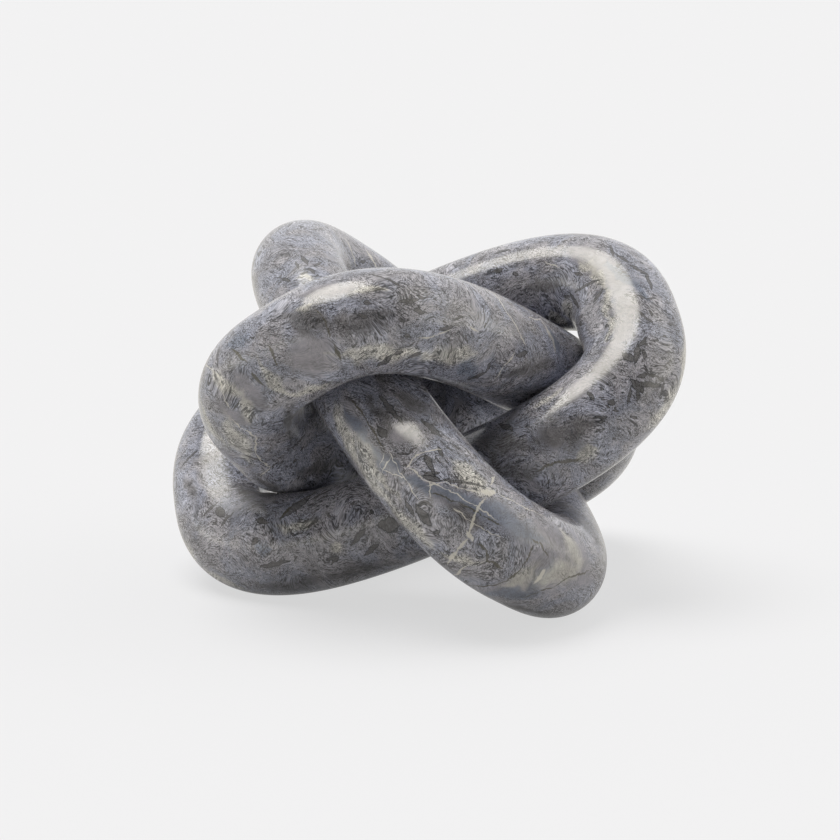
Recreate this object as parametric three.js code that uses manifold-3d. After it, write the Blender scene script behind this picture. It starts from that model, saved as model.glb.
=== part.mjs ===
// Knot sculpture of three closed rings of round marble bar. The rings are interlaced so that no two of
// them are linked, and yet the three can't be pulled apart.
// Lengths are millimetres and angles are degrees. +Z is up and -Y is the front.
// The origin is on the surface that the sculpture stands on, under the middle of its outline.

import * as THREE from 'three';
import { mergeVertices } from 'three/addons/utils/BufferGeometryUtils.js';
import Module from 'manifold-3d';

const wasm = await Module();
wasm.setup();

// Stone bar
const BAR_DIAMETER = 48;
const BAR_SIDES = 20;
const BAR_STEPS = 72;

// Oval that the bar's centre line follows, the same in all three rings
const SIDE_ROOM = 7.4; // beyond one bar, from the oval's middle out to each long strand
const END_ROOM = 6.3; // beyond one bar, from the next ring's strand out to the end of the oval
const OVAL_FULLNESS = 2.8; // 2 is an ellipse, more is squarer
const HALF_WIDTH = BAR_DIAMETER + SIDE_ROOM;
const HALF_LENGTH = HALF_WIDTH + BAR_DIAMETER + END_ROOM;

// Places of the second and third ring against the first: a turn about the ring's own long axis, short
// axis and normal, and a shift along the same three
const LOOP_TURN_DEGREES = [15.2, 14.3, -4.4];
const LOOP_SHIFT = [1.7, 1.8, -3.7];
const CROSS_TURN_DEGREES = [0, -19.1, 8.2];
const CROSS_SHIFT = [3.4, -2.8, 1];

// Contacts
const SEAT_GAP = 0.3; // between a bar and the seat that it lies in
const FOOT_DEPTH = 0.6; // ground off the three lowest ends, so that the stone stands firmly

// Which way is up: roughly, for the first guess, and the turn about the vertical that brings the front
// of the standing sculpture to -Y
const ROUGHLY_UP = new THREE.Vector3(-1, -1, 1).normalize();
const FRONT_TURN_DEGREES = 59.4;
const LINE_SAMPLES = 720;

// Polished grey marble, one tone for each ring
const MARBLE_ROUGHNESS = 0.35;
const MARBLE_METALNESS = 0;
const ARCH_COLOUR = 0x72757f;
const LOOP_COLOUR = 0x6c707b;
const CROSS_COLOUR = 0x777a84;

const BAR_RADIUS = BAR_DIAMETER / 2;
const X_AXIS = new THREE.Vector3(1, 0, 0);
const Y_AXIS = new THREE.Vector3(0, 1, 0);
const Z_AXIS = new THREE.Vector3(0, 0, 1);

// Centre line of a ring: a closed superellipse in the XY plane, long along X
class OvalLine extends THREE.Curve {
  getPoint(t, target = new THREE.Vector3()) {
    const angle = 2 * Math.PI * t;
    const lengthPart = Math.abs(Math.cos(angle) / HALF_LENGTH) ** OVAL_FULLNESS;
    const widthPart = Math.abs(Math.sin(angle) / HALF_WIDTH) ** OVAL_FULLNESS;
    const reach = (lengthPart + widthPart) ** (-1 / OVAL_FULLNESS);
    return target.set(reach * Math.cos(angle), reach * Math.sin(angle), 0);
  }
}

const ovalLine = new OvalLine();
ovalLine.arcLengthDivisions = LINE_SAMPLES;

// A closed bar round the oval, grown by a margin where it cuts a seat
function barGeometry(margin) {
  return new THREE.TubeGeometry(ovalLine, BAR_STEPS, BAR_RADIUS + margin, BAR_SIDES, true);
}

// A ring in its frame: the frame says which way the oval is long, wide and flat, and the ring is
// turned and shifted in it
function placeRing(name, colour, frameAxes, turn, shift) {
  const marble = new THREE.MeshStandardMaterial({
    color: colour,
    roughness: MARBLE_ROUGHNESS,
    metalness: MARBLE_METALNESS,
  });
  const ring = new THREE.Mesh(barGeometry(0), marble);
  ring.name = name;
  ring.rotation.set(...turn.map(THREE.MathUtils.degToRad));
  ring.position.set(...shift);
  const frame = new THREE.Group();
  frame.quaternion.setFromRotationMatrix(new THREE.Matrix4().makeBasis(...frameAxes));
  frame.add(ring);
  knot.add(frame);
  return ring;
}

const knot = new THREE.Group();
const rings = [
  placeRing('arch_ring', ARCH_COLOUR, [X_AXIS, Y_AXIS, Z_AXIS], [0, 0, 0], [0, 0, 0]),
  placeRing('loop_ring', LOOP_COLOUR, [Y_AXIS, Z_AXIS, X_AXIS], LOOP_TURN_DEGREES, LOOP_SHIFT),
  placeRing('cross_ring', CROSS_COLOUR, [Z_AXIS, X_AXIS, Y_AXIS], CROSS_TURN_DEGREES, CROSS_SHIFT),
];

// The point of a ring's centre line that lies lowest when the given direction is up
function lowestPoint(ring, up) {
  const points = ovalLine.getPoints(LINE_SAMPLES).map((point) => ring.localToWorld(point));
  return points.reduce((low, point) => (point.dot(up) < low.dot(up) ? point : low));
}

// The upward normal of the plane through the three points that are lowest when the given direction is up
function footNormal(up) {
  const feet = rings.map((ring) => lowestPoint(ring, up));
  const normal = new THREE.Plane().setFromCoplanarPoints(...feet).normal;
  return normal.multiplyScalar(Math.sign(normal.dot(up)));
}

// The knot is set on its three lowest ends, turned to the front and centred over the origin. Which
// points are lowest depends on which way is up, so each normal serves to find the next, truer one.
knot.updateMatrixWorld(true);
const standingUp = footNormal(footNormal(footNormal(ROUGHLY_UP)));
const upright = new THREE.Quaternion().setFromUnitVectors(standingUp, Z_AXIS);
knot.quaternion.setFromAxisAngle(Z_AXIS, THREE.MathUtils.degToRad(FRONT_TURN_DEGREES)).multiply(upright);
knot.updateMatrixWorld(true);
const outline = new THREE.Box3().setFromObject(knot, true);
const outlineMiddle = outline.getCenter(new THREE.Vector3());
const lowestLine = Math.min(...rings.map((ring) => lowestPoint(ring, Z_AXIS).z));
knot.position.set(-outlineMiddle.x, -outlineMiddle.y, BAR_RADIUS - FOOT_DEPTH - lowestLine);
knot.updateMatrixWorld(true);

// Solids for cutting, in the standing sculpture's own coordinates
function toSolid(geometry, matrix) {
  const placed = geometry.clone().applyMatrix4(matrix);
  placed.deleteAttribute('normal');
  placed.deleteAttribute('uv');
  const welded = mergeVertices(placed);
  const vertProperties = new Float32Array(welded.attributes.position.array);
  const triVerts = new Uint32Array(welded.index.array);
  return new wasm.Manifold(new wasm.Mesh({ numProp: 3, vertProperties, triVerts }));
}

function toGeometry(solid, matrix) {
  const mesh = solid.getMesh();
  const geometry = new THREE.BufferGeometry();
  geometry.setAttribute('position', new THREE.BufferAttribute(mesh.vertProperties, 3));
  geometry.setIndex(new THREE.BufferAttribute(mesh.triVerts, 1));
  geometry.applyMatrix4(matrix.clone().invert());
  geometry.computeVertexNormals();
  return geometry;
}

// Everything below the surface that the sculpture stands on
const groundSide = 4 * HALF_LENGTH;
const ground = new THREE.BoxGeometry(groundSide, groundSide, BAR_DIAMETER);
const groundSolid = toSolid(ground, new THREE.Matrix4().makeTranslation(0, 0, -BAR_RADIUS));

// Each ring lies in shallow seats where it meets the rings before it, and is ground flat at its foot
rings.forEach((ring, index) => {
  const earlierRings = rings.slice(0, index);
  const seatCutters = earlierRings.map((earlier) => toSolid(barGeometry(SEAT_GAP), earlier.matrixWorld));
  const bar = toSolid(ring.geometry, ring.matrixWorld);
  const stone = [groundSolid, ...seatCutters].reduce((solid, cutter) => solid.subtract(cutter), bar);
  ring.geometry = toGeometry(stone, ring.matrixWorld);
});

export default knot;
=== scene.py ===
"""Three interlaced rings of grey marble bar, on the pale floor of a small photo studio.

Lengths are metres, or millimetres where a name ends in mm. +Z is up and -Y is the front.
"""

import math
from collections import namedtuple

import bpy
import numpy as np
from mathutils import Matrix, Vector, noise
from mathutils.bvhtree import BVHTree
from mathutils.kdtree import KDTree


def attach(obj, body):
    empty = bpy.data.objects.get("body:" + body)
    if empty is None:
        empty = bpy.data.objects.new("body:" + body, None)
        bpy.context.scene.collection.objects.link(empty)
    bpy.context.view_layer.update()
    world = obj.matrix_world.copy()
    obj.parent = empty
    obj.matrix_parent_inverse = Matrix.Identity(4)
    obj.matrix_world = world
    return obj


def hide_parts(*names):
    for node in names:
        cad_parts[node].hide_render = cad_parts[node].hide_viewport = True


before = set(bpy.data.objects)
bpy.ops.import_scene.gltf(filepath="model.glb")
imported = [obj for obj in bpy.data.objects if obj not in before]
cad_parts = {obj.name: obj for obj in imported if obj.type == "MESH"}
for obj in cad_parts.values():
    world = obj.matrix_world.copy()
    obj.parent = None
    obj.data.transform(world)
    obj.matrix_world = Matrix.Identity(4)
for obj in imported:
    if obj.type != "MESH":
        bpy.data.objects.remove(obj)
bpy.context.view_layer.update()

bl_info = {
    "name": "Interlaced marble rings",
    "version": (1, 0, 0),
    "blender": (4, 5, 0),
    "location": "3D View > Sidebar > Marble Rings",
    "description": "Carves, polishes and lights a sculpture of three interlaced rings of marble bar",
    "category": "Add Mesh",
}

RING_NAMES = ("arch_ring", "loop_ring", "cross_ring")
MM = 0.001

# Points along a ring's centre line, from which lengths along it and distances to it are measured
LINE_SAMPLES = 2880

# The photograph, in pixels, and the camera that took it
IMAGE_SIZE = 840
SENSOR_WIDTH_MM = 36
LENS_MM = 98.1
CAMERA_PLACE = Vector((-0.0011, -1.0931, 0.2977))
CAMERA_TILT = math.radians(11.25)

# Lamps overhead and the bright panels of the room, in degrees: azimuth is clockwise from +Y, seen from
# above, so that the camera stands at 180
OverheadLight = namedtuple("OverheadLight", "name azimuth elevation width strength")
OVERHEAD_LIGHTS = (
    OverheadLight("overhead_softbox", 285, 74, 44, 0.74),
    OverheadLight("left_softbox", 262, 75, 40, 0.3),
)
LightPanel = namedtuple("LightPanel", "azimuth half_width low high radiance")
LIGHT_PANELS = (
    LightPanel(20, 65, 10, 58, 0.92),
    LightPanel(30, 50, -30, 10, 0.6),
    LightPanel(92, 30, -30, 58, 1.25),
    LightPanel(85, 35, -30, 14, 1.0),
    LightPanel(-75, 30, -30, 14, 0.9),
    LightPanel(-112, 45, -30, 10, 2),
    LightPanel(-85, 30, 10, 40, 0.6),
    LightPanel(0, 200, 58, 110, 0.36),
)

# Degrees to each side of a panel's edge over which its light fades
PANEL_EDGE = 12

# Half the side of the floor, and the share of the floor as the camera sees it in what the polish mirrors
FLOOR_HALF_SIDE = 40
FLOOR_IN_POLISH = 0.45

# Where a ring is left a little fuller beside a crossing
Swell = namedtuple("Swell", "place_mm height_mm reach_mm")
SWELLS = {
    "arch_ring": (Swell((-73, -33, 55), 2.7, 13),),
    "loop_ring": (Swell((-74, -30, 49), 2.6, 14), Swell((75.5, -19, 129), 1.9, 11)),
    "cross_ring": (),
}

# How far into the bar a vein, flake or cloud reaches from the face that shows it
FIGURE_DEPTH_MM = 14

# How far a figure's pointed ends reach past its two pixels, so that the figures of a chain join
FIGURE_OVERLAP = 1.3

# Figures in the stone, and patches of painted shade and painted light, each drawn from one pixel of the
# photograph to another, with half its width in millimetres. A longer vein is a chain of them.
Figure = namedtuple("Figure", "start end half_width_mm")


def chain(half_width_mm, *pixels):
    """Figures end to end along a row of pixels."""
    return [Figure(start, end, half_width_mm) for start, end in zip(pixels, pixels[1:])]


WHITE_VEINS = {
    "arch_ring": [
        *chain(0.35, (206, 363), (215, 372), (221, 380), (222, 392), (229, 408)),
        *chain(0.45, (231, 419), (245, 430), (256, 436), (256, 453), (262, 461), (270, 468), (261, 475)),
        *chain(0.45, (494, 294), (506, 311), (520, 334), (526, 345)),
        *chain(0.4, (515, 352), (504, 366), (496, 378)),
        Figure((470, 327), (478, 332), 0.6),
        *chain(0.4, (530, 318), (541, 320), (550, 338)),
        *chain(0.35, (420, 338), (436, 336), (449, 330)),
    ],
    "loop_ring": [
        Figure((545, 262), (560, 268), 0.3),
    ],
    "cross_ring": [
        *chain(0.4, (406, 468), (413, 458), (421, 453), (441, 449)),
        *chain(0.35, (410, 466), (423, 479), (446, 489), (472, 504), (495, 519)),
        Figure((494, 476), (491, 485), 0.5),
        Figure((483, 491), (495, 493), 2.2),
        *chain(0.7, (485, 499), (476, 512), (469, 534)),
        Figure((467, 531), (472, 540), 1.2),
        *chain(1.0, (466, 540), (458, 549), (448, 562)),
        Figure((454, 575), (465, 566), 0.6),
        Figure((382, 472), (391, 457), 0.35),
        *chain(0.28, (384, 455), (380, 468), (394, 474), (403, 477)),
        *chain(0.28, (389, 450), (397, 468), (406, 480), (419, 500)),
        *chain(0.3, (428, 486), (446, 482), (462, 489), (481, 493)),
        *chain(0.28, (500, 494), (516, 503), (529, 509), (546, 518)),
        *chain(0.28, (455, 508), (470, 520), (486, 531), (500, 536)),
        Figure((430, 497), (430, 482), 0.35),
        *chain(0.5, (345, 238), (352, 252), (356, 266)),
        Figure((366, 250), (376, 267), 0.7),
        Figure((536, 582), (545, 570), 1.6),
    ],
}

DARK_FLAKES = {
    "arch_ring": [
        Figure((219, 348), (218, 366), 1.0),
        *chain(0.9, (370, 274), (385, 278), (402, 287)),
        Figure((359, 316), (367, 316), 1.2),
        Figure((364, 303), (371, 303), 0.9),
        Figure((399, 303), (418, 299), 1.5),
        Figure((414, 310), (424, 312), 1.5),
        Figure((378, 366), (392, 355), 1.6),
        Figure((392, 355), (402, 352), 1.0),
        Figure((470, 379), (486, 372), 1.6),
        Figure((486, 372), (491, 362), 1.0),
        Figure((245, 455), (262, 460), 1.0),
        Figure((440, 330), (452, 327), 1.0),
        Figure((517, 356), (528, 352), 1.4),
    ],
    "loop_ring": [
        Figure((631, 381), (643, 391), 2.4),
        Figure((636, 384), (659, 386), 1.5),
        Figure((638, 388), (637, 401), 1.1),
        *chain(1.0, (638, 377), (647, 374), (657, 376), (664, 383), (661, 394)),
        Figure((631, 387), (628, 403), 0.8),
        Figure((623, 354), (633, 361), 2.4),
        Figure((638, 345), (636, 362), 1.7),
        Figure((647, 338), (639, 347), 0.9),
        Figure((644, 351), (645, 359), 1.4),
        *chain(1.3, (630, 265), (646, 274), (651, 288)),
        Figure((594, 302), (602, 290), 1.5),
        Figure((570, 294), (578, 307), 1.2),
        Figure((577, 291), (598, 280), 0.9),
        Figure((574, 273), (583, 275), 1.0),
        Figure((494, 254), (509, 249), 1.5),
        Figure((493, 272), (503, 268), 1.4),
        *chain(0.8, (639, 312), (646, 317), (652, 323)),
        Figure((649, 310), (653, 317), 0.8),
        *chain(0.6, (638, 295), (646, 298), (655, 299)),
        Figure((618, 255), (628, 262), 1.0),
        Figure((611, 246), (613, 256), 0.9),
        Figure((217, 509), (224, 516), 2.3),
        Figure((204, 515), (217, 503), 0.9),
        Figure((221, 527), (232, 513), 0.9),
        Figure((183, 465), (196, 452), 1.1),
        Figure((257, 520), (268, 523), 1.8),
        Figure((240, 491), (245, 493), 1.4),
        Figure((284, 516), (308, 499), 2.6),
        Figure((262, 567), (288, 561), 1.5),
        Figure((252, 544), (258, 538), 1.6),
        Figure((379, 525), (399, 525), 3.8),
        Figure((352, 545), (364, 530), 1.3),
        Figure((365, 555), (377, 545), 1.5),
        Figure((500, 424), (512, 430), 1.2),
        Figure((609, 401), (615, 405), 1.7),
        Figure((588, 392), (594, 400), 1.2),
    ],
    "cross_ring": [
        Figure((381, 398), (402, 422), 1.4),
        Figure((426, 456), (434, 474), 1.6),
        Figure((437, 447), (443, 456), 1.3),
        Figure((378, 428), (386, 436), 2.0),
        Figure((422, 420), (440, 436), 1.6),
        Figure((424, 476), (440, 481), 1.4),
        Figure((440, 480), (482, 486), 0.8),
        Figure((407, 503), (413, 515), 1.6),
        Figure((416, 506), (429, 524), 2.4),
        Figure((302, 256), (308, 264), 1.3),
        Figure((315, 266), (321, 262), 1.1),
        Figure((309, 268), (315, 273), 1.0),
        Figure((281, 278), (290, 281), 1.0),
        Figure((296, 262), (298, 268), 0.8),
    ],
}

BROWN_CRACKS = {
    "arch_ring": [
        *chain(0.55, (314, 309), (322, 317), (327, 328), (331, 337)),
        Figure((334, 345), (340, 359), 1.0),
        Figure((252, 372), (262, 385), 1.1),
        Figure((232, 348), (246, 362), 0.8),
        Figure((270, 345), (277, 366), 0.8),
    ],
    "loop_ring": [
        *chain(0.6, (280, 520), (292, 505), (318, 492)),
        Figure((540, 470), (556, 462), 0.9),
        Figure((556, 462), (580, 460), 1.1),
    ],
    "cross_ring": [
        *chain(0.8, (478, 544), (486, 551), (489, 561), (502, 568)),
        *chain(0.55, (471, 585), (508, 580), (521, 569), (533, 546)),
        *chain(0.5, (523, 597), (538, 592), (553, 587), (568, 577), (588, 571)),
        *chain(0.6, (532, 540), (540, 543), (548, 556)),
        *chain(0.5, (352, 400), (366, 418), (383, 448)),
        *chain(0.4, (430, 492), (458, 503), (482, 515), (502, 526)),
    ],
}

SMOOTH_CLOUDS = {
    "arch_ring": [
        Figure((296, 368), (326, 340), 11),
        Figure((540, 320), (560, 352), 4),
        Figure((236, 372), (262, 408), 7),
        Figure((222, 405), (250, 426), 5),
        Figure((302, 296), (350, 286), 4),
    ],
    "loop_ring": [
        *chain(6, (570, 250), (592, 257), (613, 272), (622, 296), (626, 322), (621, 342)),
        *chain(6, (621, 342), (608, 360), (590, 379), (572, 396)),
    ],
    "cross_ring": [
        *chain(4, (346, 411), (368, 447), (402, 475), (453, 506)),
        Figure((436, 488), (544, 542), 6),
        Figure((542, 530), (590, 580), 13),
        Figure((534, 552), (556, 590), 9),
        Figure((396, 427), (416, 440), 5),
        Figure((486, 591), (546, 574), 7),
    ],
}

# Dark smoky patches in the stone, and painted shade: most of these darken the crevices where rings meet, the
# parts that lie under the arch and the undersides by the floor, where shade falls
DARK_SMOKE_AND_PAINTED_SHADE = {
    "arch_ring": [
        Figure((284, 318), (330, 326), 7),
        Figure((290, 325), (312, 334), 5),
        Figure((330, 322), (394, 318), 6),
        Figure((286, 405), (292, 440), 3),
        Figure((300, 470), (340, 466), 5),
        # Painted shade in the crevice under the arch
        Figure((252, 478), (282, 490), 4),
        Figure((500, 372), (552, 364), 4),
    ],
    "loop_ring": [
        Figure((532, 286), (560, 284), 5),
        *chain(9, (478, 440), (530, 446), (592, 420)),
        *chain(5, (480, 440), (488, 456), (508, 480)),
        Figure((498, 470), (540, 472), 6),
        # Painted shade in the crevice where the arch meets the loop
        *chain(6, (246, 494), (264, 508)),
        Figure((240, 487), (274, 498), 6),
        Figure((184, 480), (198, 496), 4),
        # Painted shade on the underside by the floor
        *chain(7, (262, 586), (330, 577), (392, 561)),
    ],
    "cross_ring": [
        Figure((450, 506), (484, 528), 4),
        # Painted shade where the cross ring passes under the arch
        Figure((366, 396), (392, 436), 4),
        Figure((380, 386), (440, 392), 6),
        Figure((396, 397), (430, 416), 6),
        # Painted shade on the underside by the floor
        *chain(3, (500, 602), (544, 612)),
    ],
}

BLUE_CLOUDS = {
    "arch_ring": [
        Figure((228, 350), (250, 330), 5),
        Figure((548, 326), (560, 356), 4),
        Figure((460, 360), (474, 376), 4),
    ],
    "loop_ring": [
        Figure((606, 262), (648, 300), 3),
        Figure((256, 545), (270, 552), 4),
        Figure((296, 520), (304, 528), 5),
    ],
    "cross_ring": [
        *chain(3.5, (346, 411), (368, 447), (402, 475), (440, 498)),
        Figure((432, 488), (540, 538), 6),
        Figure((484, 592), (534, 590), 5),
        Figure((530, 586), (552, 566), 4),
    ],
}

# Where the polish is duller, so that a highlight is softer or missing
DULL_PATCHES = {
    "arch_ring": [
        Figure((286, 404), (306, 420), 5),
    ],
    "loop_ring": [
        *chain(14, (206, 452), (220, 488), (244, 512)),
        Figure((240, 486), (268, 500), 8),
    ],
    "cross_ring": [
        Figure((560, 500), (600, 560), 8),
    ],
}

# Pale clouds in the stone, and painted light: some of these are painted highlights that widen the highlights,
# painted rims of reflected light along edges, and lighter paint where the stone lies in shade
PALE_CLOUDS_AND_PAINTED_LIGHT = {
    "arch_ring": [
        Figure((546, 326), (556, 350), 2),
        *chain(4, (212, 372), (240, 392), (252, 424)),
        *chain(4, (262, 366), (292, 396), (330, 384)),
        Figure((200, 395), (226, 445), 5),
        *chain(5, (340, 354), (420, 352), (470, 356)),
        # Painted highlight at both ends of the arch's highlight
        Figure((354, 290), (388, 287), 3),
        Figure((296, 310), (312, 304), 3),
        Figure((228, 420), (250, 462), 6),
    ],
    "loop_ring": [
        Figure((336, 543), (344, 556), 3.5),
        Figure((280, 528), (316, 522), 4),
        # Painted highlight on the loop's inner side by the gap, painted highlight along the inner edge of the
        # loop's highlight, and lighter paint on the shaded far inside of the loop
        Figure((568, 300), (572, 322), 4),
        *chain(3, (580, 262), (594, 268), (605, 288), (609, 318), (605, 342)),
        Figure((552, 312), (564, 324), 4),
        Figure((560, 392), (540, 404), 4),
        # Painted rim of reflected light along the loop's right edge
        *chain(7, (684, 340), (680, 384), (652, 424)),
        Figure((580, 458), (600, 446), 5),
        # Painted rim of reflected light along the lower left edge
        *chain(6, (184, 540), (206, 572), (238, 586)),
    ],
    "cross_ring": [
        *chain(6, (336, 410), (358, 462), (390, 505), (430, 546)),
        Figure((452, 462), (484, 490), 5),
        Figure((356, 440), (392, 492), 5),
        Figure((508, 588), (538, 566), 5),
        *chain(6, (560, 528), (580, 566), (536, 578)),
        Figure((446, 556), (480, 560), 4),
        Figure((298, 276), (312, 277), 2.5),
    ],
}


class Wire:
    """An output socket that can be used in a Python expression, which then adds Math nodes."""

    def __init__(self, graph, socket):
        self.graph = graph
        self.socket = socket

    def math(self, operation, first, second=None):
        """A Math node, or a Vector Math node where a vector goes in."""
        values = {0: first} if second is None else {0: first, 1: second}
        if "VECTOR" in (self.socket.type, getattr(getattr(second, "socket", None), "type", "")):
            output = "Value" if operation in ("DOT_PRODUCT", "LENGTH", "DISTANCE") else "Vector"
            return self.graph.node("ShaderNodeVectorMath", {"operation": operation}, values, output)
        return self.graph.node("ShaderNodeMath", {"operation": operation}, values)

    def __add__(self, other):
        return self.math("ADD", self, other)

    def __radd__(self, other):
        return self.math("ADD", other, self)

    def __sub__(self, other):
        return self.math("SUBTRACT", self, other)

    def __rsub__(self, other):
        return self.math("SUBTRACT", other, self)

    def __mul__(self, other):
        return self.math("MULTIPLY", self, other)

    def __rmul__(self, other):
        return self.math("MULTIPLY", other, self)

    def __abs__(self):
        return self.math("ABSOLUTE", self)

    def higher_of(self, other):
        return self.math("MAXIMUM", self, other)

    def lower_of(self, other):
        return self.math("MINIMUM", self, other)

    def output(self, name):
        """Another output of the same node."""
        return Wire(self.graph, self.socket.node.outputs[name])


class Graph:
    """The node tree of one material or of the world."""

    def __init__(self, tree):
        self.tree = tree
        tree.nodes.clear()

    def node(self, kind, settings=None, inputs=None, output=0):
        """Adds a node: its settings come first, then the values or wires of its sockets."""
        node = self.tree.nodes.new(kind)
        for name, value in (settings or {}).items():
            setattr(node, name, value)
        for name, value in (inputs or {}).items():
            socket = node.inputs[name]
            if isinstance(value, Wire):
                self.tree.links.new(value.socket, socket)
            elif socket.type == "VECTOR" and isinstance(value, (int, float)):
                socket.default_value = (value, value, value)
            else:
                socket.default_value = value
        return Wire(self, node.outputs[output]) if len(node.outputs) else node

    def step(self, value, low, high):
        """A smooth step from 0 at low to 1 at high."""
        inputs = {"Value": value, "From Min": low, "From Max": high}
        return self.node("ShaderNodeMapRange", {"interpolation_type": "SMOOTHSTEP"}, inputs)

    def blend(self, mask, first, second, how="MIX"):
        """The first colour, with the second laid over it where the mask is 1."""
        settings = {"data_type": "RGBA", "blend_type": how, "clamp_factor": True}
        return self.node("ShaderNodeMix", settings, {0: mask, 6: first, 7: second}, 2)

    def grain(self, place, size_mm, detail=2, roughness=0.5, output="Fac"):
        """Noise whose clumps are about the given size."""
        inputs = {"Vector": place, "Scale": 1 / (size_mm * MM), "Detail": detail, "Roughness": roughness}
        return self.node("ShaderNodeTexNoise", {"noise_dimensions": "3D"}, inputs, output)

    def drift(self, place, size_mm, reach_mm):
        """The place, pushed about by noise of the given size by up to about the given reach."""
        push = self.grain(place, size_mm, detail=1, output="Color")
        # Noise seldom strays further than a quarter from its middle of a half
        centred = self.node("ShaderNodeVectorMath", {"operation": "SUBTRACT"}, {0: push, 1: (0.5, 0.5, 0.5)})
        return place + centred * (4 * reach_mm * MM)

    def drawn_out(self, place, turn, stretch):
        """The place in turned axes, drawn out along each of them, for streaks and layers."""
        inputs = {"Vector": place, "Rotation": turn, "Scale": stretch}
        return self.node("ShaderNodeMapping", {"vector_type": "TEXTURE"}, inputs)

    def grey(self, value):
        """A number as a grey colour."""
        return self.node("ShaderNodeCombineColor", None, {"Red": value, "Green": value, "Blue": value})


def linear(red, green, blue):
    """A colour written as 0 to 255 on screen, as the shader wants it."""

    def channel(value):
        value /= 255
        return value / 12.92 if value <= 0.04045 else ((value + 0.055) / 1.055) ** 2.4

    return (channel(red), channel(green), channel(blue), 1)


def colour_setting(name, description, default):
    """A colour that a user would change."""
    return bpy.props.FloatVectorProperty(
        name=name,
        description=description,
        subtype="COLOR",
        size=4,
        default=default,
    )


class MarbleSettings(bpy.types.PropertyGroup):
    """Sizes and colours of the marble rings."""

    oval_fullness: bpy.props.FloatProperty(
        name="Oval fullness",
        description="Exponent of the oval's outline: 2 is an ellipse, more is squarer",
        default=2.8,
    )
    seat_gap: bpy.props.FloatProperty(
        name="Seat gap",
        description="Gap between a bar and the seat that it lies in",
        default=0.0001,
        unit="LENGTH",
    )
    carving: bpy.props.FloatProperty(
        name="Carving",
        description="How far hand finishing leaves the bar below its full thickness",
        default=0.00025,
        unit="LENGTH",
    )
    carving_length: bpy.props.FloatProperty(
        name="Carving length",
        description="Length of one wave of the hand-finished surface",
        default=0.032,
        unit="LENGTH",
    )
    steps_along: bpy.props.IntProperty(
        name="Steps along",
        description="Faces along the centre line of a ring",
        default=420,
    )
    steps_around: bpy.props.IntProperty(
        name="Steps around",
        description="Faces around the bar",
        default=112,
    )
    blue_grey: colour_setting("Blue grey", "Colour of most of the stone", linear(138, 141, 158))
    warm_grey: colour_setting("Warm grey", "Colour of the warmer parts of the stone", linear(143, 142, 152))
    cloud_grey: colour_setting("Cloud grey", "Colour of the smooth clouds", linear(136, 134, 144))
    cloud_blue: colour_setting("Cloud blue", "Colour of the blue clouds", linear(104, 112, 131))
    # Colour of the pale clouds, and of the painted highlights, painted rims and lighter paint in shade
    cloud_and_painted_light_cream: colour_setting("Cloud and painted light cream", "Colour of the pale clouds", linear(186, 184, 181))
    # Colour of the dark smoky patches, and of the painted shade in crevices, under the arch and on the
    # undersides
    smoke_and_shade_grey: colour_setting("Smoke and shade grey", "Colour of the dark smoke", linear(82, 80, 83))
    thread_grey: colour_setting("Thread grey", "Colour of the thin pale threads", linear(166, 167, 174))
    outline_grey: colour_setting("Outline grey", "Colour of the thin dark outlines", linear(60, 62, 69))
    speck_grey: colour_setting("Speck grey", "Colour of the dark specks", linear(58, 59, 64))
    flake_grey: colour_setting("Flake grey", "Colour of the dark flakes", linear(87, 86, 89))
    flake_edge: colour_setting("Flake edge", "Colour of the flakes' edges", linear(44, 46, 51))
    crack_brown: colour_setting("Crack brown", "Colour of the cracks", linear(76, 73, 62))
    vein_white: colour_setting("Vein white", "Colour of the white veins", linear(208, 205, 200))
    polish: bpy.props.FloatProperty(
        name="Polish roughness",
        description="Roughness of the satin polish",
        default=0.17,
        subtype="FACTOR",
    )


class StudioSettings(bpy.types.PropertyGroup):
    """Colours and light of the studio."""

    backdrop: colour_setting("Backdrop", "Colour of what lies beyond the floor", linear(242, 242, 242))
    light_colour: colour_setting("Light colour", "Colour of lamps and panels", (1, 0.968, 0.865, 1))
    floor_bounce: colour_setting("Floor bounce", "How the floor lights the stone", (0.53, 0.53, 0.53, 1))
    floor_paint: colour_setting("Floor paint", "The part that shade darkens", (0.1634, 0.1667, 0.189, 1))
    floor_glow: colour_setting("Floor glow", "The part that stays bright in the shade", (0.64, 0.64, 0.64, 1))
    overhead_light: bpy.props.FloatProperty(
        name="Overhead light",
        description="Strength of the large soft light overhead",
        default=3.0,
    )


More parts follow.
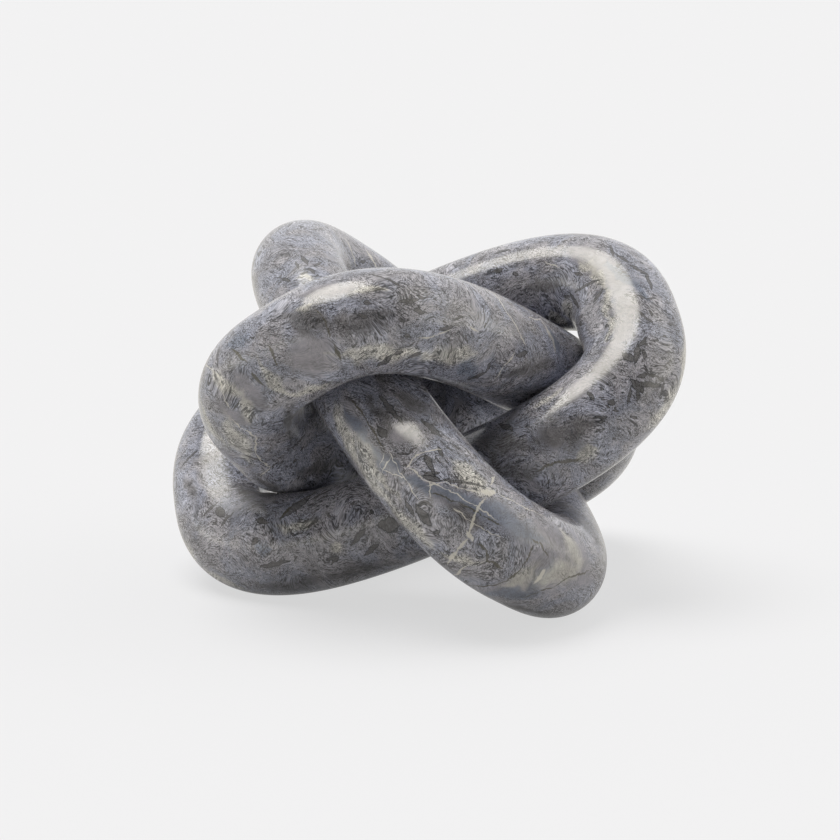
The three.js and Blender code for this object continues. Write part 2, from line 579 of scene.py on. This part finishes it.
class OvalLine:
    """The centre line of one ring, worked out from its solid in the frame."""

    def __init__(self, name, fullness):
        self.name = name
        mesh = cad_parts[name].data
        mesh.calc_loop_triangles()
        points = np.array([vertex.co for vertex in mesh.vertices], float)
        corners = points[[list(triangle.vertices) for triangle in mesh.loop_triangles]]
        areas = np.array([triangle.area for triangle in mesh.loop_triangles])
        middles = corners.mean(axis=1)
        self.centre = np.average(middles, axis=0, weights=areas)
        spread = np.cov((middles - self.centre).T, aweights=areas)
        _, self.short_axis, self.long_axis = np.linalg.eigh(spread)[1].T
        self.normal = np.cross(self.long_axis, self.short_axis)
        reach = np.abs((points - self.centre) @ np.array([self.long_axis, self.short_axis, self.normal]).T)
        outer_length, outer_width, self.bar_radius = reach.max(axis=0)
        half_length = outer_length - self.bar_radius
        half_width = outer_width - self.bar_radius
        angles = np.linspace(0, 2 * math.pi, LINE_SAMPLES)
        length_part = np.abs(np.cos(angles) / half_length) ** fullness
        width_part = np.abs(np.sin(angles) / half_width) ** fullness
        radii = (length_part + width_part) ** (-1 / fullness)
        self.flat = np.stack([radii * np.cos(angles), radii * np.sin(angles)], axis=1)
        self.distances = np.append(0, np.cumsum(np.linalg.norm(np.diff(self.flat, axis=0), axis=1)))

    def even_points(self, count):
        """Points at even steps along the line, in the ring's own plane."""
        stops = np.linspace(0, self.distances[-1], count, endpoint=False)
        return np.stack([np.interp(stops, self.distances, self.flat[:, axis]) for axis in (0, 1)], axis=1)

    def arrows(self, flat, height):
        """Arrows in the ring's plane, with a height along its normal, as arrows in the frame."""
        in_plane = np.outer(flat[:, 0], self.long_axis) + np.outer(flat[:, 1], self.short_axis)
        return in_plane + np.outer(height, self.normal)

    def to_world(self, flat):
        """Points of the ring's plane in the frame."""
        return self.centre + self.arrows(flat, np.zeros(len(flat)))


def swollen(name, points):
    """How far a ring swells out beyond its plain bar at each point."""
    height = np.zeros(len(points))
    for swell in SWELLS[name]:
        away = np.linalg.norm(points - np.array(swell.place_mm) * MM, axis=1) / (swell.reach_mm * MM)
        height += swell.height_mm * MM * np.exp(-(away**2))
    return height


def carve_ring(name, settings, earlier_lines):
    """Makes the mesh of one ring: a hand-finished bar round its oval, with its seats and its foot."""
    line = OvalLine(name, settings.oval_fullness)
    along, around = settings.steps_along, settings.steps_around
    flat = line.even_points(along)
    tangents = np.roll(flat, -1, axis=0) - np.roll(flat, 1, axis=0)
    tangents /= np.linalg.norm(tangents, axis=1)[:, None]
    outward = np.stack([tangents[:, 1], -tangents[:, 0]], axis=1)
    angles = np.linspace(0, 2 * math.pi, around, endpoint=False)
    row = np.repeat(np.arange(along), around)
    turn = np.tile(angles, along)
    side = outward[row] * np.cos(turn)[:, None]
    rays = line.arrows(side, np.sin(turn))
    full = line.to_world(flat[row]) + rays * line.bar_radius
    # The hand wears the bar by between a fifth of the carving and all of it
    waves = np.array([noise.noise(Vector(point / settings.carving_length)) for point in full])
    worn = settings.carving * (0.6 + 0.4 * np.clip(waves, -1, 1))
    points = full - rays * (worn - swollen(name, full))[:, None]
    for other in earlier_lines:
        points = seat_against(points, other, settings.seat_gap)
    points[:, 2] = np.maximum(points[:, 2], 0)
    index = np.arange(along * around).reshape(along, around)
    ahead = np.roll(index, -1, axis=0)
    corners = [index, np.roll(index, -1, axis=1), np.roll(ahead, -1, axis=1), ahead]
    faces = np.stack([corner.ravel() for corner in corners], axis=1)
    mesh = bpy.data.meshes.new(name)
    mesh.from_pydata(points.tolist(), [], faces.tolist())
    mesh.shade_smooth()
    return line, mesh


def seat_against(points, other, gap):
    """Points that lie inside another ring's bar, or nearer than the gap, are moved out to the gap."""
    core = other.to_world(other.even_points(LINE_SAMPLES))
    tree = KDTree(LINE_SAMPLES)
    for index, point in enumerate(core):
        tree.insert(point, index)
    tree.balance()
    reach = other.bar_radius + gap + swollen(other.name, points)
    for index, point in enumerate(points):
        nearest, _, distance = tree.find(point)
        if distance < reach[index]:
            points[index] = nearest + (Vector(point) - nearest) * (reach[index] / distance)
    return points


def pixel_ray(pixel):
    """The direction from the camera through a pixel of the photograph."""
    focal = IMAGE_SIZE * LENS_MM / SENSOR_WIDTH_MM
    across = (pixel[0] - IMAGE_SIZE / 2) / focal
    down = (pixel[1] - IMAGE_SIZE / 2) / focal
    forward = Vector((0, math.cos(CAMERA_TILT), -math.sin(CAMERA_TILT)))
    up = Vector((0, math.sin(CAMERA_TILT), math.cos(CAMERA_TILT)))
    return (forward + Vector((across, 0, 0)) - up * down).normalized()


def place_figure(tree, figure):
    """A figure's middle on its ring, and its three axes, each divided by the figure's half size along it."""
    ends = [tree.ray_cast(CAMERA_PLACE, pixel_ray(pixel)) for pixel in (figure.start, figure.end)]
    if ends[0][0] is None or ends[1][0] is None:
        raise ValueError(f"no stone behind the pixels {figure.start} and {figure.end}")
    middle = (ends[0][0] + ends[1][0]) / 2
    along = ends[1][0] - ends[0][0]
    across = (ends[0][1] + ends[1][1]).cross(along).normalized()
    inward = along.cross(across).normalized()
    half_length = along.length / 2 * FIGURE_OVERLAP
    half_width, depth = figure.half_width_mm * MM, FIGURE_DEPTH_MM * MM
    return middle, (along.normalized() / half_length, across / half_width, inward / depth)


def drawn(graph, place, tree, figures):
    """How deep inside the nearest of the figures a place is: 1 on a middle line, 0 at an edge."""
    field = None
    for figure in figures:
        middle, axes = place_figure(tree, figure)
        offset = place - tuple(middle)
        along, across, inward = (offset.math("DOT_PRODUCT", offset, tuple(axis)) for axis in axes)
        inside = (1 - along * along - abs(across)).lower_of(1 - abs(inward))
        field = inside if field is None else field.higher_of(inside)
    return field


# Which way the layers of the bedding face in each ring: the turn that brings Y to it
BEDDING_TURNS = {"arch_ring": (1.1, 0, 0), "loop_ring": (0.98, 0, -0.46), "cross_ring": (0.64, 0, -1.12)}


def marble(name, tree, settings):
    """Grey marble: blue and warm greys, fine swirling grain, dark flakes, pale clouds and white veins, with
    painted shade and painted highlights laid into its colour.
    """
    material = bpy.data.materials.new(name)
    material.use_nodes = True
    graph = Graph(material.node_tree)
    place = graph.node("ShaderNodeTexCoord", None, None, "Object")
    bent = graph.drift(place, 30, 9)
    swirl = graph.drift(bent, 9, 1.6)
    curl = graph.drift(swirl, 2.2, 0.3)
    rough = graph.drift(place, 4, 0.6)
    ragged = graph.drift(rough, 1.3, 0.28)
    billowing = graph.drift(graph.drift(place, 12, 2.5), 4, 1)

    # Where the stone is smooth and cloudy, and where it has its busy grain
    clouds = graph.step(drawn(graph, billowing, tree, SMOOTH_CLOUDS[name]), -0.35, 0.5)
    smooth = graph.step(graph.grain(bent, 20, 1), 0.62, 0.74).higher_of(clouds)
    busy = 1 - smooth * 0.8

    # Fine grain: thin layers of the bedding, which faces the front, and strokes that lie two other ways
    bedding = BEDDING_TURNS[name]
    layers = graph.grain(graph.drawn_out(curl, bedding, (5, 1, 5)), 0.6, 1, 0.5)
    first = graph.grain(graph.drawn_out(curl, (0.5, 0.9, 0.3), (1, 1, 4)), 0.62, 1, 0.5)
    second = graph.grain(graph.drawn_out(curl, (1.7, 0.2, 1.1), (1, 1, 4)), 0.62, 1, 0.5)
    which = graph.step(graph.grain(bent, 8, 1), 0.46, 0.54)
    layered = graph.step(graph.grain(swirl, 9, 1), 0.44, 0.5)
    stroke = first * which + second * (1 - which)
    stroke = layers * layered + stroke * (1 - layered)
    scribbled = graph.step(graph.grain(swirl, 5, 1), 0.38, 0.56) * busy
    dark_strokes = graph.step(stroke, 0.45, 0.41) * scribbled
    pale_strokes = graph.step(stroke, 0.55, 0.59) * scribbled
    speckle = graph.grain(curl, 0.5, 0) - 0.5
    patches = graph.grain(graph.drawn_out(curl, bedding, (3, 1, 3)), 1.8, 1, 0.5)
    fine = pale_strokes * 0.43 - dark_strokes * 0.72 + speckle * busy * 2.15
    fine = fine + (graph.step(patches, 0.48, 0.54) - 0.5) * busy * 0.2
    bands = graph.grain(graph.drawn_out(swirl, bedding, (6, 1, 6)), 3.5, 2)
    mottle = (graph.grain(billowing, 3, 3) - 0.5) * smooth * 0.6
    coarse = (bands - 0.5) * busy * 0.9 + (graph.grain(swirl, 13, 2) - 0.5) * 1.1 + mottle
    level = (1 + fine + coarse).higher_of(0.25)

    # Thin dark outlines and pale threads: broken contour lines of smooth fields
    outline_field = graph.grain(graph.drawn_out(curl, (0.9, 0.4, 0.2), (1, 1, 2.2)), 2.4, 1.5, 0.5)
    fine_field = graph.grain(graph.drawn_out(curl, bedding, (2, 1, 2)), 1.3, 1, 0.5)
    broken = graph.step(graph.grain(swirl, 3.4, 1), 0.45, 0.53)
    worms = graph.step(abs(outline_field - 0.46), 0.022, 0.01) * broken * busy
    fine_broken = graph.step(graph.grain(curl, 2.6, 1), 0.47, 0.55)
    fine_worms = graph.step(abs(fine_field - 0.45), 0.03, 0.012) * fine_broken * busy
    pale_threads = graph.step(abs(outline_field - 0.57), 0.014, 0.004) * (1 - broken) * busy
    long_lines = graph.step(abs(bands - 0.53), 0.01, 0.003) * (1 - broken)
    long_threads = graph.step(abs(bands - 0.45), 0.008, 0.002) * broken

    # Dark flakes with darker edges, in clusters, and clusters of dark specks
    clusters = graph.step(graph.grain(place, 34, 1), 0.44, 0.6)
    flake_field = graph.grain(graph.drawn_out(curl, (0.4, 1.2, 0), (1, 1, 3)), 2.2, 1, 0.4) + clusters * 0.1
    flakes = graph.step(flake_field, 0.76, 0.77) * (1 - smooth)
    flake_edge = graph.step(abs(flake_field - 0.755), 0.024, 0.012) * (1 - smooth)
    spots = graph.step(graph.grain(bent, 24, 1), 0.5, 0.62)
    specks = graph.step(graph.grain(curl, 1.1, 1, 0.4) + spots * 0.12, 0.7, 0.73) * (1 - smooth)

    # The figures that are drawn one by one
    drawn_field = drawn(graph, rough, tree, DARK_FLAKES[name]) + (graph.grain(curl, 1.6, 1) - 0.5) * 0.6
    flakes = flakes.higher_of(graph.step(drawn_field, 0.15, 0.25))
    flake_edge = flake_edge.higher_of(graph.step(abs(drawn_field - 0.15), 0.16, 0.06))
    uneven = (graph.grain(curl, 1.2, 1) - 0.5) * 0.8
    cracks = graph.step(drawn(graph, ragged, tree, BROWN_CRACKS[name]) + uneven, -0.05, 0.3)
    veins = graph.step(drawn(graph, ragged, tree, WHITE_VEINS[name]) + uneven, -0.1, 0.35)
    # Dark smoky patches, and painted shade where the rings meet, lie under the arch or face the floor
    smoke_and_shade = graph.step(drawn(graph, billowing, tree, DARK_SMOKE_AND_PAINTED_SHADE[name]), -0.3, 0.7)
    dull = graph.step(drawn(graph, billowing, tree, DULL_PATCHES[name]), -0.3, 0.7)
    blue = graph.step(drawn(graph, billowing, tree, BLUE_CLOUDS[name]), -0.3, 0.6)
    # Pale clouds, and painted highlights, painted rims and lighter paint in shade
    pale = graph.step(drawn(graph, billowing, tree, PALE_CLOUDS_AND_PAINTED_LIGHT[name]), -0.3, 0.7)

    # Colours, laid one over the other from the ground of the stone up to the veins
    warmth = graph.step(graph.grain(bent, 16, 2), 0.38, 0.62)
    colour = graph.blend(warmth, tuple(settings.blue_grey), tuple(settings.warm_grey))
    for mask, tone in (
        (clouds * 0.8, settings.cloud_grey),
        (blue * 0.8, settings.cloud_blue),
        # Pale clouds and painted light
        (pale * 0.74, settings.cloud_and_painted_light_cream),
        # Dark smoky patches and painted shade
        (smoke_and_shade * 0.75, settings.smoke_and_shade_grey),
    ):
        colour = graph.blend(mask, colour, tuple(tone))
    colour = graph.blend(1, colour, graph.grey(level), "MULTIPLY")
    flake_colour = graph.blend(1, tuple(settings.flake_grey), graph.grey(level * 0.5 + 0.5), "MULTIPLY")
    outlines = (worms * 0.7).higher_of(fine_worms * 0.5).higher_of(long_lines * 0.4)
    for mask, tone in (
        (pale_threads * 0.5 + long_threads * 0.4, tuple(settings.thread_grey)),
        (outlines, tuple(settings.outline_grey)),
        (specks * 0.75, tuple(settings.speck_grey)),
        (flakes * 0.88, flake_colour),
        (flake_edge * 0.85, tuple(settings.flake_edge)),
        (cracks * 0.8, tuple(settings.crack_brown)),
        (veins * 0.72, tuple(settings.vein_white)),
    ):
        colour = graph.blend(mask, colour, tone)

    # Satin polish, with a faint sheen where the surface turns away
    pores = graph.grain(place, 0.8, 1)
    unpolished = (graph.grain(curl, 1.2, 2) - 0.5) * 0.05 + flakes * 0.03 + (smoke_and_shade + dull) * 0.2
    inputs = {
        "Base Color": colour,
        "Roughness": settings.polish + unpolished,
        "Normal": graph.node("ShaderNodeBump", None, {"Strength": 0.2, "Distance": 0.00002, "Height": pores}),
        "IOR": 1.55,
        "Sheen Weight": 0.12,
        "Sheen Roughness": 0.25,
        "Sheen Tint": (1, 0.96, 0.9, 1),
    }
    surface = graph.node("ShaderNodeBsdfPrincipled", None, inputs)
    graph.node("ShaderNodeOutputMaterial", None, {"Surface": surface})
    return material


class CarveRings(bpy.types.Operator):
    """Carve the three marble rings where the solids of the frame are"""

    bl_idname = "marble_rings.carve_rings"
    bl_label = "Carve rings"

    def execute(self, context):
        settings = context.scene.marble
        lines = []
        for name in RING_NAMES:
            line, mesh = carve_ring(name, settings, lines)
            lines.append(line)
            ring = bpy.data.objects.new("marble_" + name, mesh)
            context.scene.collection.objects.link(ring)
            points = [vertex.co for vertex in mesh.vertices]
            tree = BVHTree.FromPolygons(points, [face.vertices for face in mesh.polygons])
            mesh.materials.append(marble(name, tree, settings))
            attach(ring, "root")
            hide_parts(name)
        return {"FINISHED"}


class SetStage(bpy.types.Operator):
    """Lay the pale floor, hang the lights and place the camera"""

    bl_idname = "marble_rings.set_stage"
    bl_label = "Set stage"

    def execute(self, context):
        scene = context.scene
        studio = scene.studio
        scene.view_settings.view_transform = "Standard"

        mesh = bpy.data.meshes.new("floor")
        half = FLOOR_HALF_SIDE
        corners = [(-half, -half, 0), (half, -half, 0), (half, half, 0), (-half, half, 0)]
        mesh.from_pydata(corners, [], [(0, 1, 2, 3)])
        floor = bpy.data.objects.new("floor", mesh)
        scene.collection.objects.link(floor)
        mesh.materials.append(floor_paint(studio))

        world = bpy.data.worlds.new("studio")
        scene.world = world
        world.use_nodes = True
        draw_studio(Graph(world.node_tree), studio)

        for light in OVERHEAD_LIGHTS:
            lamp = bpy.data.lights.new(light.name, "SUN")
            lamp.angle = math.radians(light.width)
            lamp.energy = light.strength * studio.overhead_light
            lamp.color = studio.light_colour[:3]
            hung = bpy.data.objects.new(light.name, lamp)
            direction = sky_direction(light.azimuth, light.elevation)
            hung.rotation_euler = direction.to_track_quat("Z", "Y").to_euler()
            scene.collection.objects.link(hung)

        camera_data = bpy.data.cameras.new("camera")
        camera_data.sensor_width = SENSOR_WIDTH_MM
        camera_data.lens = LENS_MM
        camera = bpy.data.objects.new("camera", camera_data)
        camera.location = CAMERA_PLACE
        camera.rotation_euler = (math.pi / 2 - CAMERA_TILT, 0, 0)
        scene.collection.objects.link(camera)
        scene.camera = camera
        return {"FINISHED"}


def sky_direction(azimuth, elevation):
    """The direction at an azimuth, in degrees clockwise from +Y, and an elevation, in degrees."""
    turn, rise = math.radians(azimuth), math.radians(elevation)
    return Vector((math.cos(rise) * math.sin(turn), math.cos(rise) * math.cos(turn), math.sin(rise)))


def panel_light(graph, x, y, z):
    """How bright the room is in the direction of a ray."""
    azimuth = x.math("ARCTAN2", x, y)
    elevation = z.math("ARCSINE", z) * math.degrees(1)
    light = 0
    for panel in LIGHT_PANELS:
        aside = azimuth.math("COSINE", azimuth - math.radians(panel.azimuth))
        outer = math.cos(math.radians(min(panel.half_width + PANEL_EDGE, 180)))
        inner = math.cos(math.radians(panel.half_width - PANEL_EDGE))
        across = graph.step(aside, outer, inner)
        below_top = graph.step(elevation, panel.high + PANEL_EDGE, panel.high - PANEL_EDGE)
        above_foot = graph.step(elevation, panel.low - PANEL_EDGE, panel.low + PANEL_EDGE)
        light = across * below_top * above_foot * panel.radiance + light
    return light


def draw_studio(graph, studio):
    """The backdrop that the camera sees, and the walls and panels that light the stone."""
    direction = graph.node("ShaderNodeTexCoord", None, None, "Generated")
    x = graph.node("ShaderNodeSeparateXYZ", None, {"Vector": direction})
    y, z = x.output("Y"), x.output("Z")
    light = panel_light(graph, x, y, z)
    # The polish mirrors the plain backdrop in the part of the room behind the stone
    behind = graph.step(y, 0.1, 0.4)
    path = graph.node("ShaderNodeLightPath", None, None, "Is Camera Ray")
    seen = path.higher_of(path.output("Is Transmission Ray")).higher_of(path.output("Is Glossy Ray") * behind)
    room = graph.node("ShaderNodeBackground", None, {"Color": tuple(studio.light_colour), "Strength": light})
    backdrop = graph.node("ShaderNodeBackground", None, {"Color": tuple(studio.backdrop), "Strength": 1})
    mix = graph.node("ShaderNodeMixShader", None, {0: seen, 1: room, 2: backdrop})
    graph.node("ShaderNodeOutputWorld", None, {"Surface": mix})


def floor_paint(studio):
    """Pale paint that keeps a soft shadow."""
    material = bpy.data.materials.new("pale_floor")
    material.use_nodes = True
    graph = Graph(material.node_tree)
    path = graph.node("ShaderNodeLightPath", None, None, "Is Camera Ray")
    mirrored = path.output("Is Glossy Ray") * FLOOR_IN_POLISH
    seen = path.higher_of(path.output("Is Transmission Ray")).higher_of(mirrored)
    unseen = graph.node("ShaderNodeBsdfDiffuse", None, {"Color": tuple(studio.floor_bounce)})
    shadowed = graph.node("ShaderNodeBsdfDiffuse", None, {"Color": tuple(studio.floor_paint)})
    glow = graph.node("ShaderNodeEmission", None, {"Color": tuple(studio.floor_glow), "Strength": 1})
    shown = graph.node("ShaderNodeAddShader", None, {0: shadowed, 1: glow})
    mix = graph.node("ShaderNodeMixShader", None, {0: seen, 1: unseen, 2: shown})
    graph.node("ShaderNodeOutputMaterial", None, {"Surface": mix})
    return material


class RingsPanel(bpy.types.Panel):
    """The steps of the sculpture in the sidebar"""

    bl_idname = "MARBLE_RINGS_PT_steps"
    bl_label = "Marble Rings"
    bl_space_type = "VIEW_3D"
    bl_region_type = "UI"
    bl_category = "Marble Rings"

    def draw(self, context):
        for operator in OPERATORS:
            self.layout.operator(operator.bl_idname)


OPERATORS = (CarveRings, SetStage)
CLASSES = (MarbleSettings, StudioSettings, *OPERATORS, RingsPanel)


def register():
    for item in CLASSES:
        bpy.utils.register_class(item)
    bpy.types.Scene.marble = bpy.props.PointerProperty(type=MarbleSettings)
    bpy.types.Scene.studio = bpy.props.PointerProperty(type=StudioSettings)


def unregister():
    del bpy.types.Scene.studio
    del bpy.types.Scene.marble
    for item in reversed(CLASSES):
        bpy.utils.unregister_class(item)


def main():
    register()
    bpy.ops.marble_rings.carve_rings()
    bpy.ops.marble_rings.set_stage()


if __name__ == "__main__":
    main()
